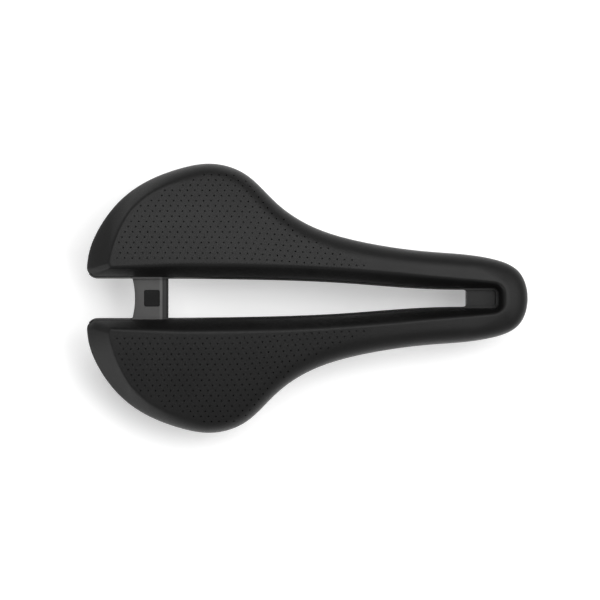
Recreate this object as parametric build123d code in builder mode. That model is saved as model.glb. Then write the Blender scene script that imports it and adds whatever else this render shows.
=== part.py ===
"""Bicycle saddle: a moulded cover and foam pad on a nylon shell, carried by two hollow rails."""
from build123d import *
import os
from math import cos, hypot, pi, sin, sqrt

os.makedirs("parts", exist_ok=True)

# Frame: +X to the nose, +Y to the rider's left, +Z up. The origin is half way along the
# saddle, on its plane of symmetry, at the height of the underside of the rails. Millimetres.

# Outline seen from above
saddle_length = 250.0
saddle_width = 154.0
nose_width = 48.0
half_length = saddle_length / 2
# (share of the length, share of half the width) from the tail round the wing to the waist
wing_shape = [
    (-0.4944, 0.330), (-0.4736, 0.504), (-0.405, 0.778), (-0.291, 0.960),
    (-0.222, 0.9975), (-0.145, 0.926), (-0.072, 0.708), (0.010, 0.530),
]
# (share of the length, share of half the nose width) from the waist to the tip
nose_shape = [(0.12, 1.342), (0.284, 1.096), (0.421, 0.929), (0.480, 0.629)]

# Heights above the underside of the rails
stack_height = 50.0
waist_x = 15.0
rear_rise = 4.5
nose_drop = 3.5
rear_crown_radius = 340.0
nose_crown_radius = 150.0
rear_deck_radius = 600.0
nose_deck_radius = 120.0
skirt_height_tail = 36.0
skirt_height_wing = 22.5
skirt_height_waist = 23.0
skirt_height_nose = 22.0
skirt_height_tip = 26.0

# Layers, from the outside in
cover_thickness = 1.2
bond_gap = 0.15
hem_width = 3.65
foam_thickness_rear = 13.0
foam_thickness_nose = 11.0
shell_thickness = 3.0
skirt_thickness = 2.5
roll_reach = 13.0
roll_drop = 11.0

# Relief channel: a slot through the shell, open to the tail, and a flared groove in the pad
slot_width_rear = 22.2
slot_width_middle = 21.4
slot_width_waist = 17.2
slot_width_front = 9.6
slot_middle_x = -40.0
slot_waist_x = 20.0
slot_front_setback = 34.5
slot_corner = 2.0
slot_front_run = 1.0
pad_step = 1.0
groove_front_setback = 16.3
groove_corner = 3.5
wing_corner = 5.5
flare_rear = 7.5
flare_front = 4.0
flare_depth = 14.0
bead_width = 0.8
bead_height = 0.6
pit_depth = 1.6
pit_inset = 0.2
pit_corner = 1.8
slot_rib_thickness = 2.0
slot_rib_depth = 5.0

# Bridge between the wings, with the window for the plug
bridge_rear_setback = 25.5
bridge_length = 20.5
bridge_drop = 2.0
bridge_thickness = 4.0
bridge_sag = 1.7
bridge_front_round = 2.5
window_length = 9.0
window_width = 9.5
window_corner = 1.0
window_from_bridge_rear = 11.3
window_ledge = 1.1
plug_recess = 0.5
plug_head_thickness = 1.5
plug_clearance = 0.2
plug_stem_length = 4.5
plug_wall = 1.2

# Ribs under the wings
rib_thickness = 1.5
rib_depth = 4.0
rib_spacing = 22.0
rib_rows = 3

# Rails
rail_spacing = 44.0
rail_diameter = 7.0
rail_bore = 4.8
rail_bend_radius = 45.0
rail_level_rear_x = -57.0
rail_level_front_x = 49.0
rail_rear_setback = 25.0
rail_rear_half_spacing = 35.0
rail_rear_depth = 9.0
rail_nose_setback = 16.0
rail_nose_half_spacing = 7.5
rail_nose_depth = 9.5

# Seats and clamps at the rail ends
sleeve_thickness = 1.05
sleeve_clearance = 0.05
seat_clearance = 0.05
seat_length_rear = 20.0
seat_length_nose = 18.0
seat_half_width_rear = 12.5
seat_margin_nose = 2.4
seat_end_wall = 3.0
clamp_gap = 0.6
clamp_thickness = 7.5
clamp_corner = 2.0
screw_offset_rear = 8.6
screw_diameter = 3.0
screw_head_diameter = 5.5
screw_head_height = 2.0
screw_socket = 2.0
screw_socket_depth = 1.3
screw_clearance = 0.15
thread_length = 5.0
insert_diameter = 4.4
insert_length = 6.0
nose_screw_margin = 4.5

# Accessory bosses under the rear of the shell
accessory_spacing = 34.0
accessory_setback = 35.0
accessory_boss_diameter = 8.5
accessory_boss_depth = 9.0
accessory_thread = 4.0
accessory_insert_diameter = 6.0
accessory_insert_length = 7.0

# Gel pads let into the underside of the foam
sit_pad_length = 52.0
sit_pad_width = 34.0
sit_pad_thickness = 5.0
sit_pad_x = -68.0
sit_pad_y = 43.0

# Loft settings
outline_sections = 17
roll_steps = 4
crown_shares = (0.66, 0.33, 0.0)
below_everything = -40.0


def along(x):
    return min(1.0, max(0.0, (x + half_length) / saddle_length))


def crown_height(x):
    """Height of the top of the pad on the plane of symmetry."""
    if x < waist_x:
        return stack_height + rear_rise * ((waist_x - x) / (waist_x + half_length)) ** 2
    return stack_height - nose_drop * ((x - waist_x) / (half_length - waist_x)) ** 2


def blend_radius(x, rear, front):
    return 1 / (1 / rear + (1 / front - 1 / rear) * along(x))


def fall(y, radius):
    return radius - sqrt(radius * radius - y * y)


def pad_height(x, y):
    return crown_height(x) - fall(y, blend_radius(x, rear_crown_radius, nose_crown_radius))


def deck_crown(x):
    foam = foam_thickness_rear + (foam_thickness_nose - foam_thickness_rear) * along(x)
    return crown_height(x) - foam


def deck_height(x, y):
    return deck_crown(x) - fall(y, blend_radius(x, rear_deck_radius, nose_deck_radius))


def skirt_height(x):
    stations = [
        (-half_length, skirt_height_tail),
        (-0.23 * saddle_length, skirt_height_wing),
        (0.0, skirt_height_waist),
        (0.3 * saddle_length, skirt_height_nose),
        (half_length, skirt_height_tip),
    ]
    x = min(half_length, max(-half_length, x))
    for (x0, z0), (x1, z1) in zip(stations, stations[1:]):
        if x <= x1:
            t = (x - x0) / (x1 - x0)
            return z0 + (z1 - z0) * t * t * (3 - 2 * t)
    return skirt_height_tip


# Half the outline, from the middle of the tail to the tip of the nose
with BuildLine() as outline:
    Spline(
        (-half_length, 0),
        (-half_length + 0.15, 0.13 * saddle_width / 2),
        *[(f * saddle_length, g * saddle_width / 2) for f, g in wing_shape],
        *[(f * saddle_length, g * nose_width / 2) for f, g in nose_shape],
        (half_length, 0),
        tangents=((0, 1), (0, -1)),
    )
outline_edge = outline.line.edges()[0]


def pad_section(t, inset, floor_lift):
    """Upright half-section of the pad, from its spine out to the edge, t of the way round."""
    rim = outline_edge.position_at(t)
    run = outline_edge.tangent_at(t)
    inward = Vector(run.Y, -run.X)
    edge = Vector(rim.X + inward.X * inset, max(0, rim.Y + inward.Y * inset))
    spine = Vector(0.8 * rim.X + 0.1 * (t - 0.5) * saddle_length, 0)
    reach = (edge - spine).length
    heading = (edge - spine) / reach
    squareness = abs(heading.X * inward.X + heading.Y * inward.Y)
    roll_width = min((roll_reach - inset) / squareness, 0.9 * reach)

    def top_at(distance):
        point = spine + heading * distance
        return pad_height(point.X, abs(point.Y)) - inset

    points = []
    for step in range(roll_steps + 1):
        angle = pi / 2 * step / roll_steps
        distance = reach - roll_width * (1 - cos(angle))
        points.append((distance, top_at(distance) - (roll_drop - inset) * (1 - sin(angle))))
    for share in crown_shares:
        distance = (reach - roll_width) * share
        points.append((distance, top_at(distance)))
    base = skirt_height(edge.X) + floor_lift
    upright = Plane(
        origin=(spine.X, spine.Y, 0),
        x_dir=(heading.X, heading.Y, 0),
        z_dir=(heading.Y, -heading.X, 0),
    )
    with BuildSketch(upright) as section:
        with BuildLine():
            Spline(*points)
            Polyline(points[-1], (0, base), (reach, base), points[0])
        make_face()
    return section.sketch


def pad_form(inset, floor_lift):
    """The saddle's outer form, drawn in by inset and with its floor raised by floor_lift."""
    with BuildPart() as form:
        for index in range(outline_sections + 1):
            add(pad_section(index / outline_sections, inset, floor_lift))
        loft()
        mirror(about=Plane.XZ)
    return form.part


def under_deck(lift):
    """Everything below the shell's top surface, which is raised by lift."""
    reach = half_length + 10
    wide = saddle_width / 2 + 10
    stations = 11
    with BuildPart() as block:
        for index in range(stations):
            x = -reach + 2 * reach * index / (stations - 1)
            top = deck_crown(x) + lift
            side = deck_height(x, wide) + lift
            with BuildSketch(Plane.YZ.offset(x)):
                with BuildLine():
                    ThreePointArc((-wide, side), (0, top), (wide, side))
                    Polyline((wide, side), (wide, below_everything),
                             (-wide, below_everything), (-wide, side))
                make_face()
        loft()
    return block.part


def relief_face(height, grows, front_x, front_corner, rear_corner):
    """Outline of the relief at one height: open at the tail, rounded at the front.

    grows widens the slot at its four stations: tail, middle, waist and front.
    """
    widths = (slot_width_rear, slot_width_middle, slot_width_waist, slot_width_front)
    rear, middle, waist, front = [width / 2 + grow for width, grow in zip(widths, grows)]
    tail_x = -half_length
    parallel_x = half_length - slot_front_setback - slot_corner - slot_front_run
    side_line = Edge.make_spline(
        [(tail_x + rear_corner, rear), (slot_middle_x, middle), (slot_waist_x, waist),
         (parallel_x, front)],
        tangents=[(1, 0), (1, 0)],
        parameters=[0, 0.38, 0.66, 1],
    )
    with BuildSketch(Plane.XY.offset(height)) as face:
        with BuildLine():
            Line((tail_x - 20, 0), (tail_x - 20, rear + rear_corner))
            Line((tail_x - 20, rear + rear_corner), (tail_x, rear + rear_corner))
            TangentArc((tail_x, rear + rear_corner), (tail_x + rear_corner, rear),
                       tangent=(0, -1))
            add(side_line)
            Line((parallel_x, front), (front_x - front_corner, front))
            TangentArc((front_x - front_corner, front), (front_x, front - front_corner),
                       tangent=(1, 0))
            Line((front_x, front - front_corner), (front_x, 0))
            mirror(about=Plane.XZ)
        make_face()
    return face.sketch


def relief_prism(grow, front_x, corner):
    with BuildPart() as prism:
        add(relief_face(0, [grow] * 4, front_x, corner, wing_corner + pad_step - grow))
        extrude(amount=2 * stack_height)
    return prism.part


def pad_relief(grow):
    """Flared groove in the pad; it is narrowest at the deck and opens out to the top."""
    low = deck_crown(0) - flare_depth / 2
    high = low + 2.2 * flare_depth
    front_x = half_length - groove_front_setback + grow
    stations = [
        (-half_length, flare_rear),
        (slot_middle_x, flare_rear),
        (slot_waist_x, (flare_rear + flare_front) / 2),
        (front_x, flare_front),
    ]
    with BuildPart() as groove:
        for height, softening in ((low, 0), (high, 1)):
            flared = [flare * (height - deck_crown(x)) / flare_depth for x, flare in stations]
            add(relief_face(height, [pad_step + grow + flare for flare in flared],
                            front_x + flared[-1], groove_corner + flare_front * softening,
                            wing_corner - grow + flare_rear * softening))
        loft()
    return groove.part


def layer(top, bottom):
    """Sheet that follows the shell's top surface, between two lifts from it."""
    with BuildPart() as sheet:
        add(under_deck(top))
        add(under_deck(bottom), mode=Mode.SUBTRACT)
    return sheet.part


def lateral_plane(origin, axis):
    """Plane with its x along a rail, its y level across the saddle and its z upwards."""
    across = Vector(-axis.Y, axis.X, 0).normalized()
    return Plane(origin=origin, x_dir=axis, z_dir=axis.cross(across))


# Rails: straight and level where the seat post grips them, rising to a seat at each end
rail_radius = rail_diameter / 2
rail_rear_x = rail_rear_setback - half_length
rail_rear_z = (deck_height(rail_rear_x, rail_rear_half_spacing) - shell_thickness
               - rail_rear_depth)
rail_nose_x = half_length - rail_nose_setback
rail_nose_z = (deck_height(rail_nose_x, rail_nose_half_spacing) - shell_thickness
               - rail_nose_depth)
rail_route = [
    Vector(rail_rear_x, rail_rear_half_spacing, rail_rear_z),
    Vector(rail_level_rear_x, rail_spacing / 2, rail_radius),
    Vector(rail_level_front_x, rail_spacing / 2, rail_radius),
    Vector(rail_nose_x, rail_nose_half_spacing, rail_nose_z),
]
rear_axis = (rail_route[1] - rail_route[0]).normalized()
nose_axis = (rail_route[2] - rail_route[3]).normalized()
sleeve_radius = rail_radius + sleeve_clearance + sleeve_thickness
seat_radius = sleeve_radius + seat_clearance

# Parting planes between the shell and its clamps; each origin lies at the rail's end
rear_plane = lateral_plane(rail_route[0], rear_axis)
nose_run = Vector(nose_axis.X, 0, nose_axis.Z).normalized()
nose_plane = Plane(origin=(rail_nose_x, 0, rail_nose_z), x_dir=nose_run,
                   z_dir=(nose_run.Z, 0, -nose_run.X))
nose_spread = nose_axis.Y / hypot(nose_axis.X, nose_axis.Z)
clamp_top = -clamp_gap / 2
clamp_bottom = clamp_top - clamp_thickness
rear_screws = [(seat_length_rear / 2, -screw_offset_rear), (seat_length_rear / 2, screw_offset_rear)]
nose_screws = [(nose_screw_margin, 0), (seat_length_nose - nose_screw_margin, 0)]


def rear_block(start, low, high):
    """Block round a rear rail end, from low to high above the parting plane."""
    length = seat_length_rear - start
    with BuildPart() as block:
        with BuildSketch(rear_plane.offset(low)):
            with Locations((start + length / 2, 0)):
                Rectangle(length, 2 * seat_half_width_rear)
        extrude(amount=high - low)
    return block.part


def nose_block(start, low, high):
    """Block round both nose rail ends; its sides follow the rails."""
    inner = rail_nose_half_spacing + sleeve_radius + seat_margin_nose
    near = inner + start * nose_spread
    far = inner + seat_length_nose * nose_spread
    with BuildPart() as block:
        with BuildSketch(nose_plane.offset(low)):
            with BuildLine():
                Polyline((start, -near), (seat_length_nose, -far), (seat_length_nose, far),
                         (start, near), close=True)
            make_face()
        extrude(amount=high - low)
    return block.part


def rail_bore_cut(origin, axis, length):
    """Cylinder for a sleeved rail end."""
    with BuildPart() as bore:
        with BuildSketch(Plane(origin=origin, z_dir=axis)):
            Circle(seat_radius)
        extrude(amount=length)
    return bore.part


def screw_cuts(plane, places):
    """Counterbored holes that take the clamp screws from below."""
    with BuildPart() as cuts:
        with BuildSketch(plane.offset(clamp_bottom)):
            with Locations(*places):
                Circle(screw_head_diameter / 2 + screw_clearance)
        extrude(amount=screw_head_height)
        with BuildSketch(plane.offset(clamp_bottom)):
            with Locations(*places):
                Circle(screw_diameter / 2 + screw_clearance)
        extrude(amount=clamp_thickness)
    return cuts.part


def insert_pockets(plane, places):
    with BuildPart() as pockets:
        with BuildSketch(plane.offset(clamp_gap / 2)):
            with Locations(*places):
                Circle(insert_diameter / 2)
        extrude(amount=insert_length)
        with BuildSketch(plane.offset(clamp_gap / 2)):
            with Locations(*places):
                Circle(screw_diameter / 2 + screw_clearance)
        extrude(amount=insert_length + 1)
    return pockets.part


def clamp_screws(plane, places):
    """Button-head screws with a hexagon socket, head downwards."""
    with BuildPart() as screws:
        with BuildSketch(plane.offset(clamp_bottom)):
            with Locations(*places):
                Circle(screw_head_diameter / 2)
        extrude(amount=screw_head_height)
        with BuildSketch(plane.offset(clamp_bottom + screw_head_height)):
            with Locations(*places):
                Circle(screw_diameter / 2)
        extrude(amount=clamp_gap / 2 + thread_length - clamp_bottom - screw_head_height)
        with BuildSketch(plane.offset(clamp_bottom)):
            with Locations(*places):
                RegularPolygon(screw_socket / 2, 6, major_radius=False)
        extrude(amount=screw_socket_depth, mode=Mode.SUBTRACT)
    return screws.part


def clamp_inserts(plane, places):
    with BuildPart() as inserts:
        with BuildSketch(plane.offset(clamp_gap / 2)):
            with Locations(*places):
                Circle(insert_diameter / 2)
                Circle(screw_diameter / 2 + screw_clearance, mode=Mode.SUBTRACT)
        extrude(amount=insert_length)
    return inserts.part


# Forms and sheets that several pieces share
cover_form = pad_form(0, 0)
under_cover_form = pad_form(cover_thickness, cover_thickness)
core_inset = cover_thickness + bond_gap
core_form = pad_form(core_inset, core_inset)
void_form = pad_form(core_inset + skirt_thickness, below_everything)
hem_form = pad_form(cover_thickness + hem_width, below_everything)
deck = under_deck(0)
deck_with_bond = under_deck(bond_gap)
shell_underside = under_deck(-shell_thickness)
# A wall of the groove leans, so its level thickness is more than its true one
lean = hypot(flare_rear, flare_depth) / flare_depth
slot_front_x = half_length - slot_front_setback
pit_front_x = half_length - groove_front_setback - pad_step - bead_width
slot_prism = relief_prism(0, slot_front_x, slot_corner)

# Cover: a thin moulded skin that turns under the skirt in a hem
with BuildPart() as cover_core:
    add(under_cover_form)
    add(pad_relief(cover_thickness * lean), mode=Mode.SUBTRACT)
with BuildPart() as cover_hollow:
    add(under_cover_form)
    add(deck_with_bond, mode=Mode.INTERSECT)
with BuildPart() as hem_hollow:
    add(hem_form)
    add(deck_with_bond, mode=Mode.INTERSECT)
with BuildPart() as cover:
    add(cover_form)
    for recess in (pad_relief(0), cover_core.part, cover_hollow.part, hem_hollow.part):
        add(recess, mode=Mode.SUBTRACT)

# Gel pads, one under each sit bone, let into the underside of the foam
with BuildPart() as sit_pad_left:
    with BuildSketch(Plane.XY):
        with Locations((sit_pad_x, sit_pad_y)):
            Ellipse(sit_pad_length / 2, sit_pad_width / 2)
    extrude(amount=2 * stack_height)
    add(layer(bond_gap + sit_pad_thickness, bond_gap), mode=Mode.INTERSECT)
with BuildPart() as sit_pad_right:
    mirror(sit_pad_left.part, about=Plane.XZ)

with BuildPart() as sit_pad_pockets:
    with BuildSketch(Plane.XY):
        with Locations((sit_pad_x, sit_pad_y), (sit_pad_x, -sit_pad_y)):
            Ellipse(sit_pad_length / 2 + bond_gap, sit_pad_width / 2 + bond_gap)
    extrude(amount=2 * stack_height)
    add(under_deck(2 * bond_gap + sit_pad_thickness), mode=Mode.INTERSECT)

with BuildPart() as foam_pad:
    add(core_form)
    for recess in (deck_with_bond, pad_relief(core_inset * lean), sit_pad_pockets.part):
        add(recess, mode=Mode.SUBTRACT)

# Shell: deck, skirt, ribs, bridge, and the seats of both rails
with BuildPart() as shell_void:
    add(void_form)
    add(shell_underside, mode=Mode.INTERSECT)

with BuildPart() as slot_rib:
    add(relief_prism(slot_rib_thickness, slot_front_x + slot_rib_thickness,
                     slot_corner + slot_rib_thickness))
    add(layer(-shell_thickness / 2, -shell_thickness - slot_rib_depth), mode=Mode.INTERSECT)
    add(core_form, mode=Mode.INTERSECT)

with BuildPart() as slot_bead:
    add(relief_prism(bead_width, pit_front_x + bead_width,
                     groove_corner - pad_step + bead_width))
    add(layer(bead_height, -shell_thickness / 2), mode=Mode.INTERSECT)
    add(core_form, mode=Mode.INTERSECT)

pit_start_x = slot_front_x - slot_corner
with BuildPart() as nose_pit:
    with BuildSketch(Plane.XY):
        with Locations(((pit_start_x + pit_front_x) / 2, 0)):
            RectangleRounded(pit_front_x - pit_start_x, slot_width_front - 2 * pit_inset,
                             pit_corner)
    extrude(amount=2 * stack_height)
    add(under_deck(-pit_depth), mode=Mode.SUBTRACT)

with BuildPart() as wing_ribs:
    for row in range(rib_rows):
        rib_x = rail_rear_x + seat_length_rear + rib_spacing * (row + 0.3)
        for side in (-1, 1):
            with BuildSketch(Plane.XY):
                with Locations((rib_x, side * saddle_width / 4)):
                    Rectangle(rib_thickness, saddle_width / 2 - slot_width_rear)
            extrude(amount=2 * stack_height)
    add(void_form, mode=Mode.INTERSECT)
    add(layer(-shell_thickness / 2, -shell_thickness - rib_depth), mode=Mode.INTERSECT)

bridge_rear_x = bridge_rear_setback - half_length
bridge_front_x = bridge_rear_x + bridge_length
bridge_top = deck_crown((bridge_rear_x + bridge_front_x) / 2) - bridge_drop
bridge_half_width = slot_width_rear / 2 + slot_rib_thickness / 2
window_x = bridge_rear_x + window_from_bridge_rear
with BuildPart() as bridge:
    with BuildSketch(Plane.XY.offset(bridge_top - bridge_thickness)):
        with BuildLine():
            ThreePointArc((bridge_rear_x, bridge_half_width), (bridge_rear_x + bridge_sag, 0),
                          (bridge_rear_x, -bridge_half_width))
            Polyline((bridge_rear_x, -bridge_half_width), (bridge_front_x, -bridge_half_width),
                     (bridge_front_x, bridge_half_width), (bridge_rear_x, bridge_half_width))
        make_face()
    extrude(amount=bridge_thickness)
    fillet(bridge.edges().group_by(Axis.Z)[-1].sort_by(Axis.X)[-1], bridge_front_round)
    with BuildSketch(Plane.XY.offset(bridge_top)):
        with BuildLine():
            ThreePointArc((bridge_rear_x, bridge_half_width), (bridge_rear_x + bridge_sag, 0),
                          (bridge_rear_x, -bridge_half_width))
            Line((bridge_rear_x, -bridge_half_width), (bridge_rear_x + bead_width, -bridge_half_width))
            ThreePointArc((bridge_rear_x + bead_width, -bridge_half_width),
                          (bridge_rear_x + bridge_sag + bead_width, 0),
                          (bridge_rear_x + bead_width, bridge_half_width))
            Line((bridge_rear_x + bead_width, bridge_half_width), (bridge_rear_x, bridge_half_width))
        make_face()
    extrude(amount=bead_height)

with BuildPart() as rear_seats:
    add(rear_block(-seat_end_wall, clamp_gap / 2, stack_height))
    mirror(about=Plane.XZ)
    add(under_deck(-shell_thickness / 2), mode=Mode.INTERSECT)

with BuildPart() as nose_seat:
    add(nose_block(-seat_end_wall, clamp_gap / 2, stack_height))
    add(under_deck(-pit_depth - shell_thickness / 4), mode=Mode.INTERSECT)
    with BuildSketch(Plane.XY):
        with Locations((slot_front_x + half_length, 0)):
            Rectangle(2 * half_length, saddle_width)
    extrude(amount=2 * stack_height, mode=Mode.INTERSECT)

accessory_x = accessory_setback - half_length
accessory_places = [(accessory_x, accessory_spacing / 2), (accessory_x, -accessory_spacing / 2)]
accessory_face = (deck_height(accessory_x, accessory_spacing / 2) - shell_thickness
                  - accessory_boss_depth)
with BuildPart() as accessory_bosses:
    with BuildSketch(Plane.XY.offset(accessory_face)):
        with Locations(*accessory_places):
            Circle(accessory_boss_diameter / 2)
    extrude(amount=stack_height)
    add(under_deck(-shell_thickness / 2), mode=Mode.INTERSECT)

ledge_height = bridge_top - plug_recess - plug_head_thickness
with BuildPart() as bridge_window:
    with BuildSketch(Plane.XY.offset(ledge_height)):
        with Locations((window_x, 0)):
            RectangleRounded(window_length, window_width, window_corner)
    extrude(amount=bridge_thickness)
    with BuildSketch(Plane.XY.offset(bridge_top - 2 * bridge_thickness)):
        with Locations((window_x, 0)):
            Rectangle(window_length - 2 * window_ledge, window_width - 2 * window_ledge)
    extrude(amount=2 * bridge_thickness)

with BuildPart() as accessory_holes:
    with BuildSketch(Plane.XY.offset(accessory_face)):
        with Locations(*accessory_places):
            Circle(accessory_insert_diameter / 2)
    extrude(amount=accessory_insert_length)

rear_bore = rail_bore_cut(rail_route[0], rear_axis, 1.5 * seat_length_rear)
nose_bore = rail_bore_cut(rail_route[3], nose_axis, 1.5 * seat_length_nose)
with BuildPart() as rail_seat_cuts:
    add([rear_bore, nose_bore, insert_pockets(rear_plane, rear_screws)])
    mirror(about=Plane.XZ)
    add(insert_pockets(nose_plane, nose_screws))

with BuildPart() as shell:
    add(core_form)
    add(deck, mode=Mode.INTERSECT)
    add(shell_void.part, mode=Mode.SUBTRACT)
    add(slot_rib.part)
    add(slot_bead.part)
    add(slot_prism, mode=Mode.SUBTRACT)
    add(nose_pit.part, mode=Mode.SUBTRACT)
    for addition in (wing_ribs, bridge, rear_seats, nose_seat, accessory_bosses):
        add(addition.part)
    for recess in (rail_seat_cuts, bridge_window, accessory_holes):
        add(recess.part, mode=Mode.SUBTRACT)

# Plug that closes the bridge window and lifts out for an accessory
with BuildPart() as accessory_plug:
    with BuildSketch(Plane.XY.offset(ledge_height)):
        with Locations((window_x, 0)):
            RectangleRounded(window_length - 2 * plug_clearance, window_width - 2 * plug_clearance,
                             window_corner)
    extrude(amount=plug_head_thickness)
    stem_length = window_length - 2 * window_ledge - 2 * plug_clearance
    stem_width = window_width - 2 * window_ledge - 2 * plug_clearance
    with BuildSketch(Plane.XY.offset(ledge_height - plug_stem_length)):
        with Locations((window_x, 0)):
            Rectangle(stem_length, stem_width)
            Rectangle(stem_length - 2 * plug_wall, stem_width - 2 * plug_wall, mode=Mode.SUBTRACT)
    extrude(amount=plug_stem_length)

with BuildPart() as accessory_inserts:
    with BuildSketch(Plane.XY.offset(accessory_face)):
        with Locations(*accessory_places):
            Circle(accessory_insert_diameter / 2)
            Circle(accessory_thread / 2, mode=Mode.SUBTRACT)
    extrude(amount=accessory_insert_length)

# Rails: one bent tube on each side
with BuildPart() as rail_left:
    with BuildLine() as rail_line:
        FilletPolyline(*rail_route, radius=rail_bend_radius)
    with BuildSketch(Plane(origin=rail_route[0], z_dir=rear_axis)):
        Circle(rail_radius)
        Circle(rail_bore / 2, mode=Mode.SUBTRACT)
    sweep(path=rail_line.line)
with BuildPart() as rail_right:
    mirror(rail_left.part, about=Plane.XZ)


def sleeve(origin, axis, length):
    with BuildPart() as tube:
        with BuildSketch(Plane(origin=origin, z_dir=axis)):
            Circle(sleeve_radius)
            Circle(rail_radius + sleeve_clearance, mode=Mode.SUBTRACT)
        extrude(amount=length)
    return tube.part


with BuildPart() as rear_sleeve_left:
    add(sleeve(rail_route[0], rear_axis, seat_length_rear))
with BuildPart() as rear_sleeve_right:
    mirror(rear_sleeve_left.part, about=Plane.XZ)
with BuildPart() as nose_sleeve_left:
    add(sleeve(rail_route[3], nose_axis, seat_length_nose))
with BuildPart() as nose_sleeve_right:
    mirror(nose_sleeve_left.part, about=Plane.XZ)

# Clamps that hold the sleeved rail ends up against the shell
with BuildPart() as rear_clamp_left:
    add(rear_block(0, clamp_bottom, clamp_top))
    fillet(rear_clamp_left.edges().filter_by(Axis((0, 0, 0), rear_plane.z_dir)), clamp_corner)
    add(rear_bore, mode=Mode.SUBTRACT)
    add(screw_cuts(rear_plane, rear_screws), mode=Mode.SUBTRACT)
with BuildPart() as rear_clamp_right:
    mirror(rear_clamp_left.part, about=Plane.XZ)

with BuildPart() as nose_clamp:
    add(nose_block(0, clamp_bottom, clamp_top))
    fillet(nose_clamp.edges().filter_by(Axis((0, 0, 0), nose_plane.z_dir)), clamp_corner)
    add(nose_bore, mode=Mode.SUBTRACT)
    mirror(nose_bore, about=Plane.XZ, mode=Mode.SUBTRACT)
    add(screw_cuts(nose_plane, nose_screws), mode=Mode.SUBTRACT)

with BuildPart() as rear_clamp_screws:
    add(clamp_screws(rear_plane, rear_screws))
    mirror(about=Plane.XZ)
with BuildPart() as nose_clamp_screws:
    add(clamp_screws(nose_plane, nose_screws))
with BuildPart() as rear_clamp_inserts:
    add(clamp_inserts(rear_plane, rear_screws))
    mirror(about=Plane.XZ)
with BuildPart() as nose_clamp_inserts:
    add(clamp_inserts(nose_plane, nose_screws))

pieces = {
    "cover": cover,
    "foam_pad": foam_pad,
    "sit_pad_left": sit_pad_left,
    "sit_pad_right": sit_pad_right,
    "shell": shell,
    "rail_left": rail_left,
    "rail_right": rail_right,
    "rear_sleeve_left": rear_sleeve_left,
    "rear_sleeve_right": rear_sleeve_right,
    "nose_sleeve_left": nose_sleeve_left,
    "nose_sleeve_right": nose_sleeve_right,
    "rear_clamp_left": rear_clamp_left,
    "rear_clamp_right": rear_clamp_right,
    "nose_clamp": nose_clamp,
    "rear_clamp_screws": rear_clamp_screws,
    "nose_clamp_screws": nose_clamp_screws,
    "rear_clamp_inserts": rear_clamp_inserts,
    "nose_clamp_inserts": nose_clamp_inserts,
    "accessory_inserts": accessory_inserts,
    "accessory_plug": accessory_plug,
}
for name, piece in pieces.items():
    piece.part.label = name
    export_step(piece.part, f"parts/{name}.step")
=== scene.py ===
from math import cos, radians, sin

import bmesh
import bpy
import numpy as np
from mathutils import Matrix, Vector


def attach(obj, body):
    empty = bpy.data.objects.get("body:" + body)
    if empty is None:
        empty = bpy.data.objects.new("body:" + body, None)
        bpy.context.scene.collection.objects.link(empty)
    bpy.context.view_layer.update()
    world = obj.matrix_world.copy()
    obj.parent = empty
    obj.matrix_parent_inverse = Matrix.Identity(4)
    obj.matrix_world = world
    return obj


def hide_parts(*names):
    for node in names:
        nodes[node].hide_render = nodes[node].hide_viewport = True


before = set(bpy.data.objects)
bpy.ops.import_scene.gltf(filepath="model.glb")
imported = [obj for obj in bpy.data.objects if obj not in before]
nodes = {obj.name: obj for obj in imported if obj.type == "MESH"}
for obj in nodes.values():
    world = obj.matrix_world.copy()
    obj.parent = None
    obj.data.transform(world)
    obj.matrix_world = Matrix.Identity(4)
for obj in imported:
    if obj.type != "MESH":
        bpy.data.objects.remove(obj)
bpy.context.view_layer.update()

scene = bpy.context.scene
mm = 0.001
tiny = 1e-9
print("frame loaded:", len(nodes), "nodes")


# Wire takes a socket through maths, Nodes makes every node, and Finish is a material
class Wire:
    def __init__(self, owner, socket):
        self.owner = owner
        self.socket = socket

    def other(self, name):
        return Wire(self.owner, self.socket.node.outputs[name])

    def maths(self, operation, first, second=0.0):
        return self.owner.node("ShaderNodeMath", {"operation": operation}, {0: first, 1: second})

    def __add__(self, other):
        return self.maths("ADD", self, other)

    __radd__ = __add__

    def __mul__(self, other):
        return self.maths("MULTIPLY", self, other)

    def __sub__(self, other):
        return self.maths("SUBTRACT", self, other)

    def __rsub__(self, other):
        return self.maths("SUBTRACT", other, self)

    def __truediv__(self, other):
        return self.maths("DIVIDE", self, other)

    def __mod__(self, other):
        return self.maths("MODULO", self, other)

    def __pow__(self, other):
        return self.maths("POWER", self, other)

    def floor(self):
        return self.maths("FLOOR", self)

    def larger(self, other):
        return self.maths("MAXIMUM", self, other)

    def ranged(self, start, end, low, high):
        return self.owner.node("ShaderNodeMapRange", {"interpolation_type": "SMOOTHSTEP"},
                               {0: self, 1: start, 2: end, 3: low, 4: high})

    def above(self, edge, soft):
        return self.ranged(edge - soft, edge + soft, 0.0, 1.0)

    def band(self, ends):
        return self.above(*ends[0]) - self.above(*ends[1])


class Nodes:
    def __init__(self, tree):
        self.tree = tree
        tree.nodes.clear()

    def node(self, kind, settings=None, sockets=None, out=0):
        made = self.tree.nodes.new(kind)
        for key, value in (settings or {}).items():
            setattr(made, key, value)
        for key, value in (sockets or {}).items():
            if isinstance(value, Wire):
                self.tree.links.new(value.socket, made.inputs[key])
            else:
                made.inputs[key].default_value = value
        return Wire(self, made.outputs[out]) if made.outputs else None

    # 1 for the rays that show a thing, 0 for those that only carry its light
    def shown(self):
        ray = self.node("ShaderNodeLightPath")
        camera, glossy, through = [ray.other(kind) for kind in
                                   ("Is Camera Ray", "Is Glossy Ray", "Is Transmission Ray")]
        return camera.larger(glossy).larger(through)


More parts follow.
